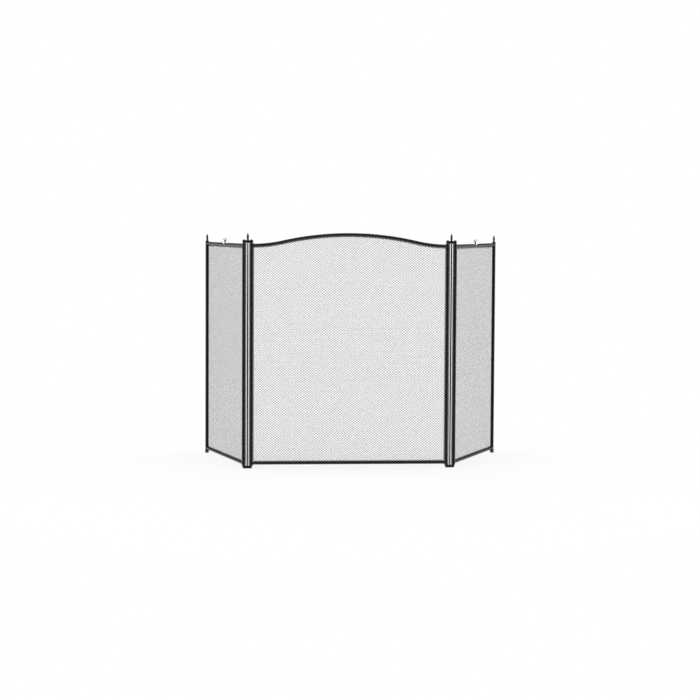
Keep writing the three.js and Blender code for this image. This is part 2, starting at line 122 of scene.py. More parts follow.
class Panel:
    """One wing of the screen: x runs along it between its two uprights, y behind it, z up."""

    def __init__(self, name, body, stile, post, outward):
        start, end = on_floor(stile), on_floor(post)
        along = (end - start) * outward
        self.name = name
        self.body = body
        self.outward = outward
        if name == "centre":
            self.reach = (-along.length / 2, along.length / 2)
            self.place = Matrix.Translation((start + end) / 2)
        else:
            self.reach = tuple(sorted((0, outward * along.length)))
            turn = Matrix.Rotation(math.atan2(along.y, along.x), 4, "Z")
            self.place = Matrix.Translation(start) @ turn

    @property
    def span(self):
        return self.reach[1] - self.reach[0]


CENTRE = Panel("centre", "centre_panel", "centre_left_stile", "centre_right_stile", 1)
WINGS = [
    Panel(side, f"{side}_panel", f"{side}_inner_stile", f"{side}_outer_post", outward)
    for side, outward in SIDES.items()
]
PANELS = [CENTRE, *WINGS]


# ---------------------------------------------------------------- settings a user may change


def length(name, description, default):
    return FloatProperty(
        name=name, description=description, default=default, unit="LENGTH", precision=5
    )


def angle(name, description, degrees):
    return FloatProperty(
        name=name, description=description, default=math.radians(degrees), unit="ROTATION"
    )


def colour(name, description, default):
    return FloatVectorProperty(
        name=name, description=description, default=default, subtype="COLOR", min=0, max=1, size=3
    )


class FireScreenFrame(bpy.types.PropertyGroup):
    """Sizes of the tube frames and their fittings."""

    wall: length("Tube wall", "Thickness of every frame tube", 1.2 * MM)
    shoulder: length("Shoulder radius", "Hollow arc at each end of the arched rail", 0.480)
    rim: length("Rim", "Rounding of cut tube ends", 0.25 * MM)
    weld: length("Weld bead", "Radius of the bead around each welded rail end", 0.9 * MM)
    rod_bend: length("Rod bend", "Radius that the mesh rods are bent to, at their axis", 5 * MM)
    edge: length("Edge", "Rounding of block and lower plate edges", 0.6 * MM)
    crown: length("Top bracket rounding", "Rounding of the top brackets' edges", 2.2 * MM)
    pin: length("Pin diameter", "Diameter of pivot pins, tie rods and screws", 4 * MM)
    play: length("Play", "Radial room round a pivot pin", 0.35 * MM)
    facets: IntProperty(name="Facets", description="Sides of round pieces", default=48, min=12)


class FireScreenMesh(bpy.types.PropertyGroup):
    """The woven wire."""

    pitch: length("Pitch", "Between neighbouring wires, measured square to them", 6.52 * MM)
    wire: length("Wire", "Wire diameter", 1.0 * MM)
    lean: angle("Lean", "Slope of the wires from level", 38.8)
    hem: length("Hem", "Width of mesh folded back behind its rod", 5 * MM)
    edge_gap: length("Edge gap", "Between the mesh's cut edge and the frame", 0.35 * MM)


class FireScreenFinish(bpy.types.PropertyGroup):
    """Colours of the finishes."""

    enamel: colour("Enamel", "Baked black enamel on the frames", (0.0025, 0.0025, 0.0028))
    nickel: colour("Nickel", "Polished plate on column tubes and knobs", (0.88, 0.875, 0.86))
    wire: colour("Wire", "Blackened mesh wire", (0.03, 0.03, 0.031))
    polymer: colour("Polymer", "Moulded plugs and feet", (0.005, 0.005, 0.005))
    zinc: colour("Zinc", "Plated pins, rods and nuts", (0.48, 0.49, 0.50))
    floor: colour("Floor", "Studio floor", (0.15, 0.15, 0.15))


class FireScreenStudio(bpy.types.PropertyGroup):
    """Camera and light."""

    camera: FloatVectorProperty(
        name="Camera", description="Camera place", default=(-0.2361, -4.3363, 0.8754), unit="LENGTH"
    )
    pan: angle("Pan", "Turn to the right", 2.98)
    tilt: angle("Tilt", "Tilt downwards", 2.16)
    roll: angle("Roll", "Roll of the camera", 0.32)
    lens: FloatProperty(name="Lens", description="Focal length", default=62.95, unit="CAMERA")
    rise: FloatProperty(name="Rise", description="Vertical lens shift", default=-0.128)
    floor_radius: length("Floor radius", "Radius of the studio floor", 1.35)


def frame_sizes():
    return bpy.context.scene.fire_screen_frame


def mesh_sizes():
    return bpy.context.scene.fire_screen_mesh


def finish_colours():
    return bpy.context.scene.fire_screen_finish


def studio():
    return bpy.context.scene.fire_screen_studio


# ---------------------------------------------------------------- workshop helpers


def pick(*objects):
    """Selects these objects and nothing else."""
    bpy.ops.object.select_all(action="DESELECT")
    for item in objects:
        item.select_set(True)
    bpy.context.view_layer.objects.active = objects[0]


@contextmanager
def editing(piece):
    """Edit mode with every point of the piece selected."""
    pick(piece)
    bpy.ops.object.mode_set(mode="EDIT")
    bpy.ops.mesh.select_mode(type="VERT")
    bpy.ops.mesh.select_all(action="SELECT")
    yield piece
    bpy.ops.object.mode_set(mode="OBJECT")


def named(name):
    piece = bpy.context.object
    piece.name = name
    piece.data.name = name
    return piece


def fresh(name, add, **settings):
    """A new primitive, named, and the only thing selected."""
    bpy.ops.object.select_all(action="DESELECT")
    add(**settings)
    return named(name)


def apply_place(piece):
    pick(piece)
    bpy.ops.object.transform_apply(location=True, rotation=True, scale=True)


def apply_modifier(piece, kind, **settings):
    pick(piece)
    modifier = piece.modifiers.new(kind.lower(), kind)
    for setting, value in settings.items():
        setattr(modifier, setting, value)
    bpy.ops.object.modifier_apply(modifier=modifier.name)


def repeat(piece, count, step, **settings):
    """Makes the piece a row of copies of itself, each one step on from the last."""
    settings |= {"use_relative_offset": False, "use_constant_offset": True}
    apply_modifier(piece, "ARRAY", count=count, constant_offset_displace=step, **settings)


def remove(*objects):
    for item in objects:
        bpy.data.objects.remove(item, do_unlink=True)


def combine(piece, operation, *tools, solver="EXACT"):
    """Joins, cuts or trims the piece by each tool in turn, and uses the tools up."""
    for tool in tools:
        apply_modifier(piece, "BOOLEAN", operation=operation, object=tool, solver=solver)
    remove(*tools)


def smooth(piece, angle=35):
    pick(piece)
    bpy.ops.object.shade_smooth_by_angle(angle=math.radians(angle))


def close_seams():
    """Merges doubled points and turns all faces outwards, in edit mode."""
    bpy.ops.mesh.select_all(action="SELECT")
    bpy.ops.mesh.remove_doubles(threshold=MERGE)
    bpy.ops.mesh.normals_make_consistent(inside=False)


def traced(name, points):
    """A line of edges through the points, drawn by extruding one point from each to the next."""
    piece = fresh(name, bpy.ops.mesh.primitive_plane_add, size=MM, location=points[0])
    apply_place(piece)
    with editing(piece):
        bpy.ops.mesh.merge(type="CENTER")
        for here, there in zip(points, points[1:]):
            bpy.ops.mesh.extrude_region_move(TRANSFORM_OT_translate={"value": there - here})
    return piece


def turned(name, outline, facets=None):
    """Turns an outline of (radius, height) points about the Z axis, as on a lathe."""
    piece = traced(name, [Vector((radius, 0, height)) for radius, height in outline])
    with editing(piece):
        bpy.ops.mesh.spin(
            steps=facets or frame_sizes().facets, angle=WHOLE, center=(0, 0, 0), axis=UP
        )
        close_seams()
    smooth(piece)
    return piece


def plate(name, outline, depth):
    """A flat plate of this depth below an outline of points."""
    piece = traced(name, [*outline, outline[0]])
    with editing(piece):
        bpy.ops.mesh.remove_doubles(threshold=MERGE)
        bpy.ops.mesh.edge_face_add()
        bpy.ops.mesh.extrude_region_move(TRANSFORM_OT_translate={"value": depth})
        close_seams()
    return piece


def bar(name, radius, start, end, facets=None, rim=0.0):
    """A round bar from start to end, with its ends softened if a rim is given."""
    along = end - start
    sides = facets or frame_sizes().facets
    add = bpy.ops.mesh.primitive_cylinder_add
    piece = fresh(name, add, vertices=sides, radius=radius, depth=along.length)
    turn = along.to_track_quat("Z", "Y").to_matrix().to_4x4()
    piece.matrix_world = Matrix.Translation((start + end) / 2) @ turn
    apply_place(piece)
    if rim:
        apply_modifier(piece, "BEVEL", width=rim, segments=2, angle_limit=SHARP)
    return piece


def arc(centre, radii, start, end, steps):
    """Points (radius, height) along part of an ellipse, angles in degrees from the radius axis."""
    angles = [math.radians(start + (end - start) * i / steps) for i in range(steps + 1)]
    return [
        (centre[0] + radii[0] * math.cos(a), centre[1] + radii[1] * math.sin(a)) for a in angles
    ]


def curve(start, control, end, steps):
    """Points along a smooth bend from start to end that leans towards the control point."""
    points = []
    for i in range(steps + 1):
        t = i / steps
        weights = ((1 - t) ** 2, 2 * t * (1 - t), t * t)
        points.append(
            tuple(
                sum(w * p[k] for w, p in zip(weights, (start, control, end))) for k in range(2)
            )
        )
    return points


def settle(piece, place, body, slot, *nodes):
    """Puts a finished piece in its place with its finish, riding on its body."""
    piece.matrix_world = place
    apply_place(piece)
    piece.data.materials.clear()
    piece.data.materials.append(bpy.data.materials[slot])
    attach(piece, body)
    if nodes:
        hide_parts(*nodes)
    return piece


def copies(pattern, rows):
    """Settles a copy of the pattern for each row of name, place, body, slot and node."""
    for name, place, body, slot, node in rows:
        pick(pattern)
        bpy.ops.object.duplicate()
        settle(named(name), place, body, slot, node)
    remove(pattern)


def at(foot, height=0.0):
    return Matrix.Translation(foot + UP * height)


def stile_rows(kind, slot, centre_end, wing_end):
    """A row for each of the four stiles. The ends are those of the names of their nodes."""
    return [
        (f"{kind}_centre_{side}", at(on_floor(f"centre_{side}_stile")), "centre_panel", slot,
         f"centre_{side}_{centre_end}")
        for side in SIDES
    ] + [
        (f"{kind}_{wing.name}", wing.place, wing.body, slot, f"{wing.name}_{wing_end}")
        for wing in WINGS
    ]


def post_rows(kind, slot, end):
    """A row for each of the two outer posts."""
    return [
        (f"{kind}_{wing.name}", at(on_floor(f"{wing.name}_outer_post")), wing.body, slot,
         f"{wing.name}_{end}")
        for wing in WINGS
    ]


def column_rows(kind, slot):
    """A row for each of the two fold columns."""
    return [
        (f"{kind}_{side}", at(on_floor(f"{side}_column_tube")), f"{side}_column", slot,
         f"{side}_{kind}")
        for side in SIDES
    ]


def pin_rows(kind, slot):
    """A row for each of the four pivots."""
    return [
        (f"{kind}_{panel}_{side}", at(on_floor(f"{side}_{kind}_{panel}")), f"{side}_column",
         slot, f"{side}_{kind}_{panel}")
        for side in SIDES
        for panel in ("centre", "side")
    ]


# ---------------------------------------------------------------- finishes


def node_group(name, inputs, outputs):
    """A new shader group. inputs is {name: (socket type, default)}, outputs {name: type}."""
    group = bpy.data.node_groups.new(name, "ShaderNodeTree")
    for label, (kind, default) in inputs.items():
        socket = group.interface.new_socket(name=label, in_out="INPUT", socket_type=kind)
        socket.default_value = default
    for label, kind in outputs.items():
        group.interface.new_socket(name=label, in_out="OUTPUT", socket_type=kind)
    group.nodes.new("NodeGroupInput").name = "in"
    group.nodes.new("NodeGroupOutput").name = "out"
    return group


def add_node(tree, kind, **settings):
    """A node with its properties and, for keys that name one, its input values set."""
    node = tree.nodes.new(kind)
    for key, value in settings.items():
        if key in node.inputs:
            node.inputs[key].default_value = value
        else:
            setattr(node, key, value)
    return node


def join(tree, *links):
    for source, target in links:
        tree.links.new(source, target)


def noise(tree, coordinates, scale, detail, roughness=0.55):
    node = add_node(
        tree, "ShaderNodeTexNoise", Scale=scale, Detail=detail, Roughness=roughness
    )
    join(tree, (coordinates, node.inputs["Vector"]))
    return node.outputs["Fac"]


def ranged(tree, value, start, end, to_start=0.0, to_end=1.0):
    """Stretches value from start..end to to_start..to_end, clamped. A limit may be a socket."""
    node = add_node(tree, "ShaderNodeMapRange")
    join(tree, (value, node.inputs["Value"]))
    limits = {"From Min": start, "From Max": end, "To Min": to_start, "To Max": to_end}
    for label, limit in limits.items():
        if isinstance(limit, (int, float)):
            node.inputs[label].default_value = limit
        else:
            join(tree, (limit, node.inputs[label]))
    return node.outputs["Result"]


def maths(tree, operation, first, second):
    node = add_node(tree, "ShaderNodeMath", operation=operation)
    for socket, value in zip(node.inputs, (first, second)):
        if isinstance(value, (int, float)):
            socket.default_value = value
        else:
            join(tree, (value, socket))
    return node.outputs[0]


def blended(tree, mask, first, second):
    """A colour between two, each a socket or a constant colour."""
    node = add_node(tree, "ShaderNodeMix", data_type="RGBA")
    join(tree, (mask, node.inputs["Factor"]))
    for socket, value in ((node.inputs[6], first), (node.inputs[7], second)):
        if isinstance(value, tuple):
            socket.default_value = value
        else:
            join(tree, (value, socket))
    return node.outputs[2]


def handling_group():
    """Fingermarks, faint dust and scuffs that gather near the floor."""
    group = node_group(
        "handling",
        {
            "Vector": ("NodeSocketVector", (0, 0, 0)),
            "Dust": ("NodeSocketFloat", 0.3),
            "Scuff Height": ("NodeSocketFloat", 0.05),
        },
        {"Dust Mask": "NodeSocketFloat", "Smudge": "NodeSocketFloat", "Scuff": "NodeSocketFloat"},
    )
    source, target = group.nodes["in"], group.nodes["out"]
    place = source.outputs["Vector"]
    parts = add_node(group, "ShaderNodeSeparateXYZ")
    join(group, (place, parts.inputs[0]))
    patches = ranged(group, noise(group, place, 14, 5), 0.48, 0.72)
    specks = ranged(group, noise(group, place, 900, 2), 0.56, 0.74)
    grime = maths(group, "MULTIPLY", patches, specks)
    dust = maths(group, "MULTIPLY", grime, source.outputs["Dust"])
    smudge = ranged(group, noise(group, place, 38, 4, 0.6), 0.35, 0.7)
    lowness = ranged(group, parts.outputs["Z"], source.outputs["Scuff Height"], 0.0)
    scratches = ranged(group, noise(group, place, 320, 3, 0.7), 0.55, 0.66)
    scuff = maths(group, "MULTIPLY", lowness, scratches)
    join(
        group,
        (dust, target.inputs["Dust Mask"]),
        (smudge, target.inputs["Smudge"]),
        (scuff, target.inputs["Scuff"]),
    )
    return group


def skin_group():
    """The fine relief of a sprayed or moulded skin: slow waviness under a close grain."""
    group = node_group(
        "skin",
        {
            "Vector": ("NodeSocketVector", (0, 0, 0)),
            "Wave Scale": ("NodeSocketFloat", 160.0),
            "Grain Scale": ("NodeSocketFloat", 1800.0),
            "Grain Share": ("NodeSocketFloat", 0.3),
        },
        {"Height": "NodeSocketFloat"},
    )
    source, target = group.nodes["in"], group.nodes["out"]
    waves = add_node(group, "ShaderNodeTexNoise", Detail=2.0)
    grain = add_node(group, "ShaderNodeTexNoise", Detail=3.0)
    join(
        group,
        (source.outputs["Vector"], waves.inputs["Vector"]),
        (source.outputs["Wave Scale"], waves.inputs["Scale"]),
        (source.outputs["Vector"], grain.inputs["Vector"]),
        (source.outputs["Grain Scale"], grain.inputs["Scale"]),
    )
    share = maths(group, "MULTIPLY", grain.outputs["Fac"], source.outputs["Grain Share"])
    join(group, (maths(group, "ADD", waves.outputs["Fac"], share), target.inputs["Height"]))
    return group


def new_finish(name):
    """A new material: its node tree, its shader and the object coordinates.

    The frame comes with plain materials under the slots' names. So this one is stored under a
    numbered name, and the pieces, which ask by slot name, wear the plain one.
    """
    material = bpy.data.materials.new(name)
    material.use_nodes = True
    tree = material.node_tree
    shader = tree.nodes["Principled BSDF"]
    place = add_node(tree, "ShaderNodeTexCoord").outputs["Object"]
    return tree, shader, place


def use_group(tree, name, place, **values):
    node = add_node(tree, "ShaderNodeGroup", node_tree=bpy.data.node_groups[name])
    join(tree, (place, node.inputs["Vector"]))
    set_inputs(node, **values)
    return node.outputs


def coat(tree, shader, tone, rough, height, strength, distance):
    """Wires up a finish: its colour, its roughness, and its relief through a bump."""
    bump = add_node(tree, "ShaderNodeBump", Strength=strength, Distance=distance)
    join(
        tree,
        (tone, shader.inputs["Base Color"]),
        (rough, shader.inputs["Roughness"]),
        (height, bump.inputs["Height"]),
        (bump.outputs[0], shader.inputs["Normal"]),
    )


def set_inputs(node, **values):
    for label, value in values.items():
        node.inputs[label.replace("_", " ")].default_value = value


def rgba(values, lift=1.0):
    return (*(min(1.0, value * lift) for value in values), 1.0)


def enamel_finish():
    """Baked gloss enamel: soft orange peel, faint dust, scuffs low down."""
    tree, shader, place = new_finish("black_enamel")
    base = finish_colours().enamel
    marks = use_group(tree, "handling", place, Dust=0.35, Scuff_Height=0.035)
    skin = use_group(tree, "skin", place, Wave_Scale=260.0, Grain_Scale=2600.0, Grain_Share=0.2)
    dusty = blended(tree, marks["Dust Mask"], rgba(base), (0.03, 0.029, 0.028, 1))
    scuffed = blended(tree, marks["Scuff"], dusty, (0.05, 0.049, 0.047, 1))
    gloss = ranged(tree, marks["Smudge"], 0, 1, 0.08, 0.15)
    rough = maths(tree, "ADD", gloss, maths(tree, "MULTIPLY", marks["Scuff"], 0.3))
    set_inputs(shader, Specular_IOR_Level=0.04)
    coat(tree, shader, scuffed, rough, skin["Height"], 0.12, 0.05 * MM)


def nickel_finish():
    """Polished plate: draw marks along the tube, thin haze and a few fingermarks."""
    tree, shader, place = new_finish("polished_nickel")
    base = finish_colours().nickel
    marks = use_group(tree, "handling", place, Dust=0.12, Scuff_Height=0.02)
    drawn = add_node(tree, "ShaderNodeMapping")
    set_inputs(drawn, Scale=(1.0, 1.0, 0.02))
    join(tree, (place, drawn.inputs["Vector"]))
    lines = noise(tree, drawn.outputs[0], 2600, 3)
    hazed = blended(tree, marks["Smudge"], rgba(base), rgba(base, 0.9))
    dusty = blended(tree, marks["Dust Mask"], hazed, (0.5, 0.49, 0.47, 1))
    rough = ranged(tree, maths(tree, "ADD", lines, marks["Smudge"]), 0.4, 1.5, 0.03, 0.08)
    set_inputs(shader, Metallic=1.0)
    coat(tree, shader, dusty, rough, lines, 0.05, 0.01 * MM)


def wire_finish():
    """Blackened steel wire, a little uneven along its length."""
    tree, shader, place = new_finish("black_wire")
    base = finish_colours().wire
    uneven = noise(tree, place, 240, 4)
    fired = noise(tree, place, 9, 3)
    tone = blended(tree, ranged(tree, uneven, 0.3, 0.7), rgba(base, 0.7), rgba(base, 1.6))
    warm = blended(tree, ranged(tree, fired, 0.55, 0.8, 0, 0.5), tone, (0.045, 0.042, 0.039, 1))
    rough = ranged(tree, uneven, 0.3, 0.7, 0.24, 0.4)
    set_inputs(shader, Metallic=0.9)
    coat(tree, shader, warm, rough, uneven, 0.2, 0.03 * MM)


def polymer_finish():
    """Moulded polymer: fine grain, dull, greyed where it rubs the floor."""
    tree, shader, place = new_finish("black_polymer")
    base = finish_colours().polymer
    marks = use_group(tree, "handling", place, Dust=0.5, Scuff_Height=0.012)
    skin = use_group(tree, "skin", place, Wave_Scale=420.0, Grain_Scale=3400.0, Grain_Share=0.7)
    dusty = blended(tree, marks["Dust Mask"], rgba(base), (0.04, 0.039, 0.038, 1))
    scuffed = blended(tree, marks["Scuff"], dusty, (0.06, 0.059, 0.057, 1))
    rough = ranged(tree, skin["Height"], 0.4, 1.1, 0.42, 0.62)
    set_inputs(shader, Specular_IOR_Level=0.15)
    coat(tree, shader, scuffed, rough, skin["Height"], 0.3, 0.04 * MM)


def zinc_finish():
    """Bright zinc plate with its crystalline mottle."""
    tree, shader, place = new_finish("zinc_steel")
    base = finish_colours().zinc
    cells = add_node(tree, "ShaderNodeTexVoronoi", Scale=900.0)
    join(tree, (place, cells.inputs["Vector"]))
    mottle = ranged(tree, cells.outputs["Distance"], 0.1, 0.7)
    tone = blended(tree, mottle, rgba(base, 0.8), rgba(base, 1.15))
    rough = ranged(tree, mottle, 0, 1, 0.3, 0.45)
    set_inputs(shader, Metallic=1.0)
    coat(tree, shader, tone, rough, mottle, 0.08, 0.01 * MM)


def floor_finish():
    """A plain pale studio floor, lit from below as well so that shadows stay faint."""
    tree, shader, place = new_finish("studio_floor")
    base = finish_colours().floor
    tone = blended(tree, noise(tree, place, 3, 3), rgba(base), rgba(base, 0.985))
    join(tree, (tone, shader.inputs["Base Color"]))
    set_inputs(shader, Emission_Color=WHITE, Emission_Strength=0.81)
    set_inputs(shader, Roughness=0.85, Specular_IOR_Level=0.1)


class FIRESCREEN_OT_finishes(bpy.types.Operator):
    """Makes the finishes, and gives the frame's own nodes the material of their slot's name."""

    bl_idname = "firescreen.finishes"
    bl_label = "Finishes"

    def execute(self, context):
        handling_group()
        skin_group()
        for make in (enamel_finish, nickel_finish, wire_finish, polymer_finish, zinc_finish):
            make()
        floor_finish()
        slots = {row["node"]: row["material_slot"] for row in frame["record"]["subparts"]}
        for node, item in frame["nodes"].items():
            item.data.materials.clear()
            item.data.materials.append(bpy.data.materials[slots[node]])
        return {"FINISHED"}


# ---------------------------------------------------------------- stage


def studio_surround(scene):
    """White to the camera. To the object, bright side walls and floor and a dark camera bay."""
    world = bpy.data.worlds.new("studio")
    scene.world = world
    world.use_nodes = True
    tree = world.node_tree
    tree.nodes.clear()
    direction = add_node(tree, "ShaderNodeTexCoord").outputs["Generated"]
    parts = add_node(tree, "ShaderNodeSeparateXYZ")
    join(tree, (direction, parts.inputs[0]))
    depth, rise = parts.outputs["Y"], parts.outputs["Z"]
    # Nearer and side walls are bright and the far wall is dim. Overhead is dark towards the camera.
    walls = ranged(tree, depth, 0.2, 0.5, 2.4, 0.35)
    overhead = ranged(tree, rise, 0.45, 0.7, 1.0, ranged(tree, depth, -0.3, -0.12, 0.06, 1.0))
    sky = maths(tree, "MULTIPLY", walls, overhead)
    # The ground is bright except well down at either side, and meets the walls at the horizon.
    aside = ranged(tree, maths(tree, "ABSOLUTE", parts.outputs["X"], 0), 0.5, 0.62)
    corners = maths(tree, "MULTIPLY", aside, ranged(tree, rise, -0.32, -0.42))
    ground = ranged(tree, corners, 0, 1, 1.6, 0.05)
    level = ranged(tree, ranged(tree, rise, 0.0, -0.06), 0, 1, sky, ground)
    # The camera's bay is dark, between its lower and upper edges.
    facing = ranged(tree, depth, -0.62, -0.68)
    height = maths(tree, "ABSOLUTE", rise, 0)
    bay = maths(tree, "MULTIPLY", facing, ranged(tree, height, 0.55, 0.45))
    glow = maths(tree, "MULTIPLY", level, maths(tree, "SUBTRACT", 1.0, bay))
    seen = add_node(tree, "ShaderNodeBackground", Color=WHITE, Strength=1.0)
    lit = add_node(tree, "ShaderNodeBackground", Color=WHITE)
    whole = add_node(tree, "ShaderNodeMixShader")
    output = add_node(tree, "ShaderNodeOutputWorld")
    rays = add_node(tree, "ShaderNodeLightPath")
    join(
        tree,
        (glow, lit.inputs["Strength"]),
        (rays.outputs["Is Camera Ray"], whole.inputs[0]),
        (lit.outputs[0], whole.inputs[1]),
        (seen.outputs[0], whole.inputs[2]),
        (whole.outputs[0], output.inputs[0]),
    )


SOFTBOXES = [  # name, place, aim, size and watts
    ("key", (-1.6, -1.8, 2.6), (0, 0, 0.2), (1.8, 1.8), 6),
    ("fill", (1.9, -1.2, 2.3), (0, 0, 0.2), (1.6, 1.6), 3),
    ("rear", (0.0, 2.2, 2.6), (0, 0, 0.1), (2.4, 1.4), 3),
]


def softbox(name, place, aim, size, power):
    bpy.ops.object.light_add(type="AREA", location=place)
    lamp = bpy.context.object
    lamp.name = name
    lamp.data.shape = "RECTANGLE"
    lamp.data.size, lamp.data.size_y = size
    lamp.data.energy = power
    lamp.rotation_euler = (Vector(aim) - Vector(place)).to_track_quat("-Z", "Y").to_euler()
    lamp.visible_glossy = False
    lamp.visible_camera = False


class FIRESCREEN_OT_stage(bpy.types.Operator):
    """Lays the floor and sets up the camera and the light."""

    bl_idname = "firescreen.stage"
    bl_label = "Stage"

    def execute(self, context):
        scene, setup = context.scene, studio()
        add = bpy.ops.mesh.primitive_circle_add
        floor = fresh(
            "studio_floor", add, vertices=96, radius=setup.floor_radius, fill_type="TRIFAN"
        )
        floor.data.materials.append(bpy.data.materials["studio_floor"])
        floor.visible_glossy = False
        studio_surround(scene)
        for lamp in SOFTBOXES:
            softbox(*lamp)
        bpy.ops.object.camera_add(location=setup.camera)
        camera = bpy.context.object
        level = Matrix.Rotation(-setup.pan, 4, "Z") @ Matrix.Rotation(QUARTER - setup.tilt, 4, "X")
        turn = level @ Matrix.Rotation(setup.roll, 4, "Z")
        camera.rotation_euler = turn.to_euler()
        camera.data.lens = setup.lens
        camera.data.shift_y = setup.rise
        camera.data.clip_end = 60
        scene.camera = camera
        scene.view_settings.view_transform = "Standard"
        return {"FINISHED"}


# ---------------------------------------------------------------- drawn bars and rods


def ring(name, facets, radius, centre, lean):
    """An open ring to draw a bar or a wire from, turned about Y by the lean."""
    add = bpy.ops.mesh.primitive_circle_add
    piece = fresh(
        name, add, vertices=facets, radius=radius, location=centre, rotation=(0, lean, 0)
    )
    apply_place(piece)
    return piece


def drawn(name, radius, start, heading, moves, facets):
    """A round bar drawn along a path in the panel's plane: straight runs and turns about Y."""
    lean = math.atan2(heading.x, heading.z)
    piece = ring(name, facets, radius, start, lean)
    with editing(piece):
        for move in moves:
            if isinstance(move, Vector):
                bpy.ops.mesh.extrude_region_move(TRANSFORM_OT_translate={"value": move})
            else:
                centre, angle, steps = move
                bpy.ops.mesh.spin(steps=steps, angle=angle, center=centre, axis=(0, 1, 0))
        bpy.ops.mesh.select_all(action="SELECT")
        bpy.ops.mesh.fill_holes(sides=0)
        close_seams()
    smooth(piece)
    return piece


class Arch:
    """The arched rail's three arcs: hollow shoulders at the ends and a crown between them."""

    def __init__(self, shoulder):
        half = CENTRE.span / 2
        self.shoulder = shoulder
        self.crown = half * half / (2 * ARCH_RISE) + ARCH_RISE / 2 - shoulder
        self.angle = math.asin(half / (shoulder + self.crown))
        self.shoulder_height = TOP_RAIL + shoulder
        self.crown_height = TOP_RAIL + ARCH_RISE - self.crown

    def line(self, below, margin, y=0.0, steps=20):
        """Points from left to right along the arch, this far below the rail's axis."""
        hollow, crown = self.shoulder + below, self.crown - below
        first = math.asin(margin / hollow)
        left = []
        for i in range(steps):
            a = first + (self.angle - first) * i / steps
            x = CENTRE.reach[0] + hollow * math.sin(a)
            left.append(Vector((x, y, self.shoulder_height - hollow * math.cos(a))))
        middle_part = []
        for i in range(2 * steps + 1):
            a = self.angle * (i / steps - 1)
            middle_part.append(
                Vector((crown * math.sin(a), y, self.crown_height + crown * math.cos(a)))
            )
        right = [Vector((-p.x, p.y, p.z)) for p in reversed(left)]
        return left + middle_part + right

    def bar(self, name, radius, below, margin, y, facets):
        hollow = self.shoulder + below
        first = math.asin(margin / hollow)
        start = self.line(below, margin, y)[0]
        heading = Vector((math.cos(first), 0, math.sin(first)))
        bend = self.angle - first
        moves = [
            (Vector((CENTRE.reach[0], y, self.shoulder_height)), bend, 18),
            (Vector((0, y, self.crown_height)), -2 * self.angle, 44),
            (Vector((CENTRE.reach[1], y, self.shoulder_height)), bend, 18),
        ]
        return drawn(name, radius, start, heading, moves, facets)


# ---------------------------------------------------------------- tube frames


def tube_outline(radius, wall, bottom, top, rim):
    bore = radius - wall
    return [
        (bore, bottom + rim),
        (bore + rim, bottom),
        (radius - rim, bottom),
        (radius, bottom + rim),
        (radius, top - rim),
        (radius - rim, top),
        (bore + rim, top),
        (bore, top - rim),
        (bore, bottom + rim),
    ]


class FIRESCREEN_OT_uprights(bpy.types.Operator):
    """Turns the enamelled stiles and posts and the polished column tubes"""

    bl_idname = "firescreen.uprights"
    bl_label = "Stiles, posts and column tubes"

    def execute(self, context):
        sizes = frame_sizes()

        def tube(name, node, reach):
            bottom, top = low(node).z - reach, high(node).z + reach
            return turned(name, tube_outline(STILE_RADIUS, sizes.wall, bottom, top, sizes.rim))

        stile = tube("stile", "centre_left_stile", TOUCH)
        copies(stile, stile_rows("stile", "black_enamel", "stile", "inner_stile"))
        post = tube("post", "left_outer_post", TOUCH)
        copies(post, post_rows("post", "black_enamel", "outer_post"))
        column = tube("column_tube", "left_column_tube", 0)
        copies(column, column_rows("column_tube", "polished_nickel"))
        return {"FINISHED"}


def weld_to_uprights(rail, height, reach):
    """Copes a rail's ends to the uprights at either end of its reach, with a bead round each."""
    bead = frame_sizes().weld
    ends = sorted(reach)
    for x, inward in ((ends[0], 1), (ends[1], -1)):
        axis = Vector((x, 0, height))
        below, above = axis - UP * 0.02, axis + UP * 0.02
        collar_end = axis + Vector((inward * (STILE_RADIUS + 2 * bead), 0, 0))
        collar = bar("collar", RAIL_RADIUS + bead, axis, collar_end)
        combine(collar, "INTERSECT", bar("limit", STILE_RADIUS + bead, below, above))
        combine(rail, "UNION", collar)
        combine(rail, "DIFFERENCE", bar("upright", STILE_RADIUS - 0.3 * MM, below, above))
    smooth(rail)


def straight_rail(name, height, reach):
    start, end = Vector((min(reach), 0, height)), Vector((max(reach), 0, height))
    rail = bar(name, RAIL_RADIUS, start, end)
    weld_to_uprights(rail, height, reach)
    return rail


class FIRESCREEN_OT_rails(bpy.types.Operator):
    """Bends the arched rail and cuts the straight ones, coped and welded to their uprights"""

    bl_idname = "firescreen.rails"
    bl_label = "Rails"

    def execute(self, context):
        sizes = frame_sizes()
        arched = Arch(sizes.shoulder).bar("rail_arched", RAIL_RADIUS, 0, 0, 0, sizes.facets)
        weld_to_uprights(arched, TOP_RAIL, CENTRE.reach)
        settle(arched, CENTRE.place, CENTRE.body, "black_enamel", "centre_arch_rail")
        lower = straight_rail("rail_centre_bottom", BOTTOM_RAIL, CENTRE.reach)
        settle(lower, CENTRE.place, CENTRE.body, "black_enamel", "centre_bottom_rail")
        for wing in WINGS:
            for level, height in (("top", TOP_RAIL), ("bottom", BOTTOM_RAIL)):
                rail = straight_rail(f"rail_{wing.name}_{level}", height, wing.reach)
                node = f"{wing.name}_{level}_rail"
                settle(rail, wing.place, wing.body, "black_enamel", node)
        return {"FINISHED"}


# ---------------------------------------------------------------- mesh and its rods


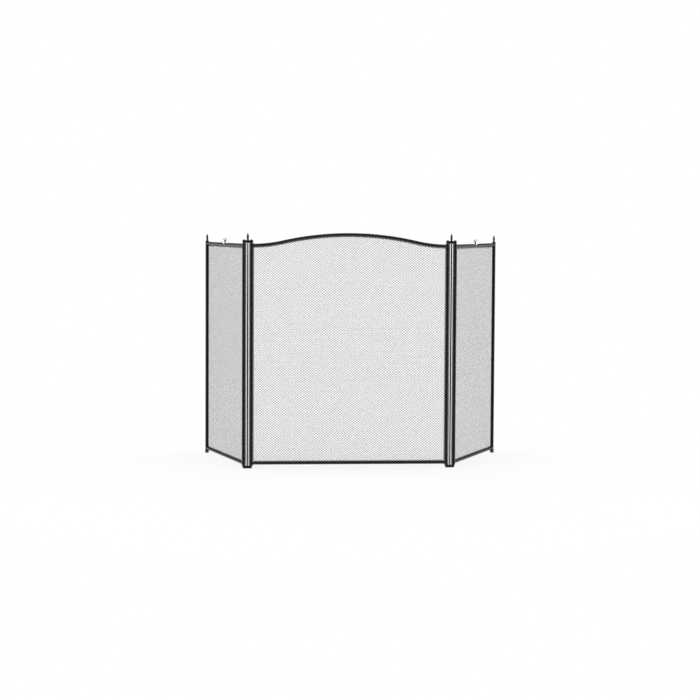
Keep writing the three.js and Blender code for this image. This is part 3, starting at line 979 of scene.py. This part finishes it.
def side_rod(name, reach):
    """The rod bent down one upright, along the bottom rail and up the other."""
    bend = frame_sizes().rod_bend
    inset = STILE_RADIUS + GAP + SIDE_ROD_RADIUS
    left, right = reach[0] + inset, reach[1] - inset
    top = TOP_RAIL - RAIL_RADIUS - GAP
    bottom = BOTTOM_RAIL + RAIL_RADIUS + GAP + SIDE_ROD_RADIUS
    leg = Vector((0, 0, top - bottom - bend))
    moves = [
        -leg,
        (Vector((left + bend, SIDE_ROD_PLANE, bottom + bend)), QUARTER, 8),
        Vector((right - left - 2 * bend, 0, 0)),
        (Vector((right - bend, SIDE_ROD_PLANE, bottom + bend)), QUARTER, 8),
        leg,
    ]
    start = Vector((left, SIDE_ROD_PLANE, top))
    return drawn(name, SIDE_ROD_RADIUS, start, -UP, moves, 16)


class FIRESCREEN_OT_mesh_rods(bpy.types.Operator):
    """Bends the rods that the mesh is wrapped round"""

    bl_idname = "firescreen.mesh_rods"
    bl_label = "Mesh rods"

    def execute(self, context):
        drop = RAIL_RADIUS + GAP + TOP_ROD_RADIUS
        margin = STILE_RADIUS + 2 * (GAP + SIDE_ROD_RADIUS)
        curved = Arch(frame_sizes().shoulder).bar(
            "mesh_rod_centre_top", TOP_ROD_RADIUS, drop, margin, TOP_ROD_PLANE, 20
        )
        settle(curved, CENTRE.place, CENTRE.body, "black_wire", "centre_mesh_top_rod")
        for wing in WINGS:
            start = Vector((wing.reach[0] + margin, TOP_ROD_PLANE, TOP_RAIL - drop))
            run = Vector((wing.span - 2 * margin, 0, 0))
            name = f"mesh_rod_{wing.name}_top"
            rod = drawn(name, TOP_ROD_RADIUS, start, Vector((1, 0, 0)), [run], 20)
            settle(rod, wing.place, wing.body, "black_wire", f"{wing.name}_mesh_top_rod")
        for panel in PANELS:
            rod = side_rod(f"mesh_rod_{panel.name}_sides", panel.reach)
            settle(rod, panel.place, panel.body, "black_wire", f"{panel.name}_mesh_side_rod")
        return {"FINISHED"}


def wire_layer(name, centre, extent):
    """Every wire that leans one way, over a rectangle of this extent about the centre."""
    cloth = mesh_sizes()
    lean, pitch, wire = cloth.lean, cloth.pitch, cloth.wire
    step = pitch / math.sin(2 * lean)
    drift = step * math.cos(2 * lean)
    lift = wire * 0.52
    along = (extent[0] * math.cos(lean) + extent[1] * math.sin(lean)) / 2
    across = (extent[0] * math.sin(lean) + extent[1] * math.cos(lean)) / 2
    pairs = math.ceil(across / (2 * pitch))
    waves = math.ceil((along + 2 * pairs * drift) / (2 * step))
    start = Vector((-2 * pairs * drift - 2 * waves * step, lift, 2 * pairs * pitch))
    layer = ring(name, 6, wire / 2, start, QUARTER)
    with editing(layer):
        for side in (-1, 1):
            bend = Vector((step, side * 2 * lift, 0))
            bpy.ops.mesh.extrude_region_move(TRANSFORM_OT_translate={"value": bend})
    repeat(
        layer, 2 * waves, (2 * step, 0, 0), use_merge_vertices=True, merge_threshold=wire / 20
    )
    with editing(layer):
        bpy.ops.mesh.fill_holes(sides=0)
        bpy.ops.mesh.select_all(action="SELECT")
        bpy.ops.mesh.normals_make_consistent(inside=False)
        beside = Vector((drift - step, 0, -pitch))
        bpy.ops.mesh.duplicate_move(TRANSFORM_OT_translate={"value": beside})
    repeat(layer, 2 * pairs + 1, (2 * drift, 0, -2 * pitch))
    layer.matrix_world = Matrix.Translation(centre) @ Matrix.Rotation(-lean, 4, "Y")
    apply_place(layer)
    return layer


def trimmed_copy(layer, name, shift, outline, flipped_about=None):
    """A copy of the wires, shifted and cut to an outline, and turned round if it is to lean
    the other way."""
    pick(layer)
    bpy.ops.object.duplicate()
    piece = named(name)
    place = Matrix.Translation(shift)
    if flipped_about:
        turn = Matrix.Rotation(math.pi, 4, "Z")
        place = place @ Matrix.Translation(flipped_about) @ turn
        place = place @ Matrix.Translation(-flipped_about)
    piece.matrix_world = place
    apply_place(piece)
    back = [point + shift + Vector((0, 2 * MM, 0)) for point in outline]
    shape = plate("outline", back, Vector((0, -4 * MM, 0)))
    combine(piece, "INTERSECT", shape, solver="MANIFOLD")
    pick(piece)
    bpy.ops.object.shade_smooth()
    return piece


class FIRESCREEN_OT_mesh(bpy.types.Operator):
    """Weaves the wire mesh of each panel, with the hem folded back behind its top rod"""

    bl_idname = "firescreen.mesh"
    bl_label = "Woven mesh"

    def execute(self, context):
        cloth = mesh_sizes()
        behind = Vector((0, TOP_ROD_PLANE + TOP_ROD_RADIUS + cloth.wire * 1.2, 0))
        bottom = BOTTOM_RAIL + RAIL_RADIUS + cloth.edge_gap
        below = RAIL_RADIUS + cloth.edge_gap
        margin = STILE_RADIUS + cloth.edge_gap
        arch = Arch(frame_sizes().shoulder)

        def weave(panel, top_line, hem_line):
            left, right = panel.reach[0] + margin, panel.reach[1] - margin
            top = max(point.z for point in top_line)
            centre = Vector(((left + right) / 2, 0, (bottom + top) / 2))
            layer = wire_layer("wires", centre, (right - left, top - bottom))
            face = [Vector((left, 0, bottom)), Vector((right, 0, bottom)), *reversed(top_line)]
            band = [*hem_line, *reversed(top_line)]
            for way, about in (("rising", None), ("falling", centre)):
                piece = trimmed_copy(layer, f"mesh_{panel.name}_{way}", Vector(), face, about)
                hem = trimmed_copy(layer, f"hem_{panel.name}_{way}", behind, band, about)
                nodes = [f"{panel.name}_mesh"] if about is None else []
                settle(piece, panel.place, panel.body, "black_wire", *nodes)
                settle(hem, panel.place, panel.body, "black_wire")
            remove(layer)

        weave(CENTRE, arch.line(below, margin), arch.line(below + cloth.hem, margin))
        for wing in WINGS:
            ends = [wing.reach[0] + margin, wing.reach[1] - margin]
            top = [Vector((x, 0, TOP_RAIL - below)) for x in ends]
            hem = [Vector((x, 0, TOP_RAIL - below - cloth.hem)) for x in ends]
            weave(wing, top, hem)
        return {"FINISHED"}


# ---------------------------------------------------------------- plugs, caps and feet


class FIRESCREEN_OT_plugs(bpy.types.Operator):
    """Turns the moulded plugs that close the stiles and take the pivot pins"""

    bl_idname = "firescreen.plugs"
    bl_label = "Stile plugs"

    def execute(self, context):
        sizes = frame_sizes()
        bore = sizes.pin / 2 + sizes.play
        inner = STILE_RADIUS - sizes.wall - SNUG
        taper = STILE_RADIUS - 1.1 * MM
        lower_top = high("centre_left_lower_plug").z
        lower = turned("lower_plug", [
            (bore, STILE_LOW + 0.5 * MM),
            (bore + 0.5 * MM, STILE_LOW),
            *curve((taper - 0.4 * MM, STILE_LOW), (taper, STILE_LOW),
                   (taper + 0.2 * MM, STILE_LOW + 0.5 * MM), 4),
            *curve((taper + 0.4 * MM, STILE_LOW + 0.9 * MM),
                   (STILE_RADIUS, STILE_LOW + 2 * MM), (STILE_RADIUS, LOWER_COLLAR_TOP), 8),
            (inner, LOWER_COLLAR_TOP),
            (inner, lower_top - CHAMFER),
            (inner - CHAMFER, lower_top),
            (bore, lower_top),
            (bore, STILE_LOW + 0.5 * MM),
        ])
        upper_low = low("centre_left_upper_plug").z
        upper = turned("upper_plug", [
            (bore, upper_low),
            (inner - CHAMFER, upper_low),
            (inner, upper_low + CHAMFER),
            (inner, UPPER_COLLAR_LOW),
            (STILE_RADIUS, UPPER_COLLAR_LOW),
            *curve((STILE_RADIUS, STILE_TOP - 0.7 * MM), (STILE_RADIUS, STILE_TOP),
                   (STILE_RADIUS - 0.7 * MM, STILE_TOP), 5),
            (bore + 0.4 * MM, STILE_TOP),
            (bore, STILE_TOP - 0.4 * MM),
            (bore, upper_low),
        ])
        for plug in (lower, upper):
            copies(plug, stile_rows(plug.name, "black_polymer", plug.name, plug.name))
        return {"FINISHED"}


class FIRESCREEN_OT_post_ends(bpy.types.Operator):
    """Turns the swollen feet and the flanged caps of the outer posts"""

    bl_idname = "firescreen.post_ends"
    bl_label = "Post feet and caps"

    def execute(self, context):
        sizes = frame_sizes()
        inner = STILE_RADIUS - sizes.wall - SNUG
        collar = low("left_outer_post").z - GAP
        top = high("left_post_foot").z
        bulge = STILE_RADIUS + 0.85 * MM
        foot = turned("post_foot", [
            (0, 0.4 * MM),
            (bulge * 0.45, 0.4 * MM),
            (bulge * 0.55, 0),
            *curve((bulge * 0.7, 0), (bulge, 0), (bulge, collar * 0.4), 10),
            *curve((bulge, collar * 0.45), (bulge, collar * 0.75), (STILE_RADIUS, collar), 8),
            (inner, collar),
            (inner, top - CHAMFER),
            (inner - CHAMFER, top),
            (0, top),
        ])
        flange = low("left_post_cap").z
        seat = high("left_outer_post").z + SNUG
        flange_top = low("left_post_finial").z - GAP
        lip = STILE_RADIUS + 1.4 * MM
        stud = sizes.pin / 2
        cap = turned("post_cap", [
            (0, flange),
            (inner - CHAMFER, flange),
            (inner, flange + CHAMFER),
            (inner, seat),
            *curve((lip - 0.5 * MM, seat), (lip, seat), (lip, seat + 0.5 * MM), 4),
            *curve((lip, flange_top - 0.9 * MM), (lip, flange_top - 0.1 * MM),
                   (lip - 1.1 * MM, flange_top), 6),
            (stud, flange_top),
            (stud, high("left_post_cap").z - 0.3 * MM),
            (stud - 0.3 * MM, high("left_post_cap").z),
            (0, high("left_post_cap").z),
        ])
        for end, slot in ((foot, "black_polymer"), (cap, "black_enamel")):
            copies(end, post_rows(end.name, slot, end.name))
        return {"FINISHED"}


# ---------------------------------------------------------------- finials and knobs


class FIRESCREEN_OT_finials(bpy.types.Operator):
    """Turns the spire finials of the columns and posts"""

    bl_idname = "firescreen.finials"
    bl_label = "Finials"

    def execute(self, context):
        node = "left_column_finial"
        bead, height = width(node) / 2, high(node).z - low(node).z
        neck = 2.9 * MM
        spire = 3.95 * MM
        finial = turned("finial", [
            (0, -TOUCH),
            (bead * 0.78, -TOUCH),
            (bead * 0.83, 0.25 * MM - TOUCH),
            (bead * 0.83, 1.2 * MM),
            (bead * 0.76, 1.6 * MM),
            *curve((bead * 0.83, 1.8 * MM), (bead * 1.17, 3.6 * MM), (bead * 0.83, 5.4 * MM), 12),
            *curve((bead * 0.74, 5.8 * MM), (neck, 6.1 * MM), (neck, 6.7 * MM), 5),
            *curve((neck + 0.1 * MM, 7.0 * MM), (spire, 7.7 * MM), (spire, 10.2 * MM), 10),
            *curve((spire - 0.02 * MM, 10.6 * MM), (spire, (height + 10.2 * MM) / 2),
                   (0.7 * MM, height - 0.8 * MM), 18),
            *arc((0, height - 0.85 * MM), (0.7 * MM, 0.85 * MM), 10, 90, 6),
        ])
        rows = []
        for upright, body in (("column", "column"), ("post", "panel")):
            for side in SIDES:
                node = f"{side}_{upright}_finial"
                place = at(on_floor(node), low(node).z)
                name = f"finial_{upright}_{side}"
                rows.append((name, place, f"{side}_{body}", "black_enamel", node))
        copies(finial, rows)
        return {"FINISHED"}


class FIRESCREEN_OT_knobs(bpy.types.Operator):
    """Turns the flared lift knobs and hollows their bases to sit over the rails"""

    bl_idname = "firescreen.knobs"
    bl_label = "Lift knobs"

    def execute(self, context):
        sizes = frame_sizes()
        crest = RAIL_RADIUS
        top = high("left_knob").z - TOP_RAIL
        bottom = low("left_knob").z - TOP_RAIL
        rim, neck, base = 11.25 * MM, 7 * MM, 8 * MM
        skirt = crest - 3 * MM
        knob = turned("knob", [
            (0, skirt),
            (base - 0.2 * MM, skirt),
            (base, skirt + 0.2 * MM),
            *curve((base, skirt + 0.6 * MM), (neck, crest + 0.4 * MM),
                   (neck, crest + 5.8 * MM), 12),
            *curve((neck, crest + 6.2 * MM), (neck, top - 2.7 * MM),
                   (rim - 0.3 * MM, top - 1.7 * MM), 14),
            *curve((rim - 0.1 * MM, top - 1.6 * MM), (rim, top - 1.2 * MM),
                   (rim - 0.4 * MM, top - 0.8 * MM), 5),
            *curve((rim - 0.8 * MM, top - 0.7 * MM), (rim * 0.6, top), (0, top), 10),
        ])
        reach = Vector((0.02, 0, 0))
        combine(knob, "DIFFERENCE", bar("saddle", RAIL_RADIUS + SNUG, -reach, reach))
        screw = bar("screw", sizes.pin / 2, UP * bottom, UP * (crest + 1 * MM), rim=0.3 * MM)
        combine(knob, "UNION", screw)
        smooth(knob)
        copies(knob, [
            (f"knob_{wing.name}",
             wing.place @ Matrix.Translation((sum(wing.reach) / 2, 0, TOP_RAIL)),
             wing.body, "polished_nickel", f"{wing.name}_knob")
            for wing in WINGS
        ])
        return {"FINISHED"}


# ---------------------------------------------------------------- fold columns


class FIRESCREEN_OT_brackets(bpy.types.Operator):
    """Cuts the plates that carry the pivot pins, drilled and with softened edges"""

    bl_idname = "firescreen.brackets"
    bl_label = "Fold brackets"

    def execute(self, context):
        sizes = frame_sizes()
        for kind, rounding in (("top_bracket", sizes.crown), ("bottom_bracket", sizes.edge)):
            node = f"left_{kind}"
            end = (high(node).y - low(node).y) / 2
            points = arc((COLUMN_PITCH, 0), (end, end), -90, 90, 16)
            points += arc((-COLUMN_PITCH, 0), (end, end), 90, 270, 16)
            outline = [Vector((x, y, low(node).z)) for x, y in points]
            thickness = high(node).z - low(node).z
            bracket = plate(kind, outline, UP * thickness)
            apply_modifier(
                bracket, "BEVEL", width=rounding, segments=5, angle_limit=SHARP
            )
            for x in (-COLUMN_PITCH, 0, COLUMN_PITCH):
                foot = Vector((x, 0, low(node).z))
                ends = foot + DRILL_START, foot + DRILL_END
                combine(bracket, "DIFFERENCE", bar("hole", sizes.pin / 2 + BORE_EASE, *ends))
            smooth(bracket)
            copies(bracket, column_rows(kind, "black_enamel"))
        return {"FINISHED"}


class FIRESCREEN_OT_column_feet(bpy.types.Operator):
    """Moulds the rounded blocks the columns stand on, with pockets for the nuts"""

    bl_idname = "firescreen.column_feet"
    bl_label = "Column feet"

    def execute(self, context):
        sizes = frame_sizes()
        node = "left_column_foot"
        size = high(node) - low(node)
        add = bpy.ops.mesh.primitive_cube_add
        foot = fresh("column_foot", add, size=1, location=(0, 0, size.z / 2))
        foot.scale = size
        apply_place(foot)
        with editing(foot):
            bpy.ops.mesh.select_mode(type="EDGE")
            bpy.ops.mesh.select_all(action="DESELECT")
            bpy.ops.object.mode_set(mode="OBJECT")
            for edge in foot.data.edges:
                ends = [foot.data.vertices[i].co for i in edge.vertices]
                edge.select = abs(ends[0].z - ends[1].z) > size.z / 2
            bpy.ops.object.mode_set(mode="EDIT")
            bpy.ops.mesh.bevel(offset=2 * MM, segments=6, affect="EDGES")
        apply_modifier(
            foot, "BEVEL", width=sizes.edge, segments=3, angle_limit=SHARP
        )
        nut_top = high("left_tie_nut").z + GAP
        pocket = bar("pocket", width("left_tie_nut") / 2 + GAP, DRILL_START, UP * nut_top)
        hole = bar("hole", sizes.pin / 2 + BORE_EASE, DRILL_START, DRILL_END)
        combine(foot, "DIFFERENCE", pocket, hole)
        smooth(foot)
        copies(foot, column_rows("column_foot", "black_polymer"))
        return {"FINISHED"}


class FIRESCREEN_OT_pins(bpy.types.Operator):
    """Turns the domed upper pivot pins and the plain lower ones"""

    bl_idname = "firescreen.pins"
    bl_label = "Pivot pins"

    def execute(self, context):
        shank = frame_sizes().pin / 2
        node = "left_upper_pin_centre"
        bottom, top = low(node).z, high(node).z
        seat = high("left_top_bracket").z + SNUG
        head = width(node) / 2
        domed = turned("upper_pin", [
            (0, bottom),
            (shank - 0.4 * MM, bottom),
            (shank, bottom + 0.4 * MM),
            (shank, seat),
            (head - 0.2 * MM, seat),
            (head, seat + 0.2 * MM),
            *arc((0, seat + 0.7 * MM), (head, top - seat - 0.7 * MM), 0, 90, 14),
        ])
        copies(domed, pin_rows("upper_pin", "black_enamel"))
        bottom, top = low("left_lower_pin_centre").z, high("left_lower_pin_centre").z
        plain = turned("lower_pin", [
            (0, bottom),
            (shank, bottom),
            (shank, top - 0.8 * MM),
            *curve((shank - 0.1 * MM, top - 0.5 * MM), (shank - 0.4 * MM, top),
                   (0, top), 5),
        ])
        copies(plain, pin_rows("lower_pin", "zinc_steel"))
        return {"FINISHED"}


class FIRESCREEN_OT_tie_rods(bpy.types.Operator):
    """Threads the tie rods and shapes the nuts that clamp the columns together"""

    bl_idname = "firescreen.tie_rods"
    bl_label = "Tie rods and nuts"

    def execute(self, context):
        radius = frame_sizes().pin / 2
        bottom, top = low("left_tie_rod").z, high("left_tie_rod").z
        pitch, root = 0.7 * MM, radius - 0.35 * MM
        outline = [(0, bottom), (root, bottom)]
        for start in (bottom, top - 14 * pitch):
            for i in range(13):
                crest = start + (i + 0.5) * pitch
                outline += [(radius, crest), (root, crest + pitch / 2)]
            if start == bottom:
                outline += [(radius, start + 13.5 * pitch)]
        outline += [(root, top), (0, top)]
        copies(turned("tie_rod", outline, 24), column_rows("tie_rod", "zinc_steel"))
        bottom, top = low("left_tie_nut").z, high("left_tie_nut").z
        corner = width("left_tie_nut") / 2
        nut = bar("tie_nut", corner, UP * bottom, UP * top, facets=6)
        nut.matrix_world = Matrix.Rotation(math.pi / 6, 4, "Z")
        apply_place(nut)
        flat = corner * math.cos(math.pi / 6)
        chamfer = 0.45 * MM
        dome = turned("chamfer", [
            (0, bottom), (flat, bottom), (corner, bottom + chamfer),
            (corner, top - chamfer), (flat, top), (0, top),
        ])
        combine(nut, "INTERSECT", dome)
        combine(nut, "DIFFERENCE", bar("bore", radius - 0.1 * MM, DRILL_START, DRILL_END))
        smooth(nut, 25)
        copies(nut, column_rows("tie_nut", "zinc_steel"))
        return {"FINISHED"}


# ---------------------------------------------------------------- sidebar panel and running


SETTINGS = {
    "fire_screen_frame": FireScreenFrame,
    "fire_screen_mesh": FireScreenMesh,
    "fire_screen_finish": FireScreenFinish,
    "fire_screen_studio": FireScreenStudio,
}

STEPS = [
    FIRESCREEN_OT_finishes,
    FIRESCREEN_OT_stage,
    FIRESCREEN_OT_uprights,
    FIRESCREEN_OT_rails,
    FIRESCREEN_OT_mesh_rods,
    FIRESCREEN_OT_mesh,
    FIRESCREEN_OT_plugs,
    FIRESCREEN_OT_post_ends,
    FIRESCREEN_OT_finials,
    FIRESCREEN_OT_knobs,
    FIRESCREEN_OT_brackets,
    FIRESCREEN_OT_column_feet,
    FIRESCREEN_OT_pins,
    FIRESCREEN_OT_tie_rods,
]


class FIRESCREEN_PT_panel(bpy.types.Panel):
    """Sizes, colours and steps of the fireplace screen"""

    bl_label = "Fireplace Screen"
    bl_idname = "FIRESCREEN_PT_panel"
    bl_space_type = "VIEW_3D"
    bl_region_type = "UI"
    bl_category = "Fire Screen"

    def draw(self, context):
        for setting, group in SETTINGS.items():
            box = self.layout.box()
            for label in group.__annotations__:
                box.prop(getattr(context.scene, setting), label)
        for step in STEPS:
            self.layout.operator(step.bl_idname)


CLASSES = [*SETTINGS.values(), *STEPS, FIRESCREEN_PT_panel]


def register():
    for item in CLASSES:
        bpy.utils.register_class(item)
    for setting, group in SETTINGS.items():
        setattr(bpy.types.Scene, setting, PointerProperty(type=group))


def unregister():
    for setting in SETTINGS:
        delattr(bpy.types.Scene, setting)
    for item in reversed(CLASSES):
        bpy.utils.unregister_class(item)


def main():
    register()
    for step in STEPS:
        group, name = step.bl_idname.split(".")
        getattr(getattr(bpy.ops, group), name)()


if __name__ == "__main__":
    main()
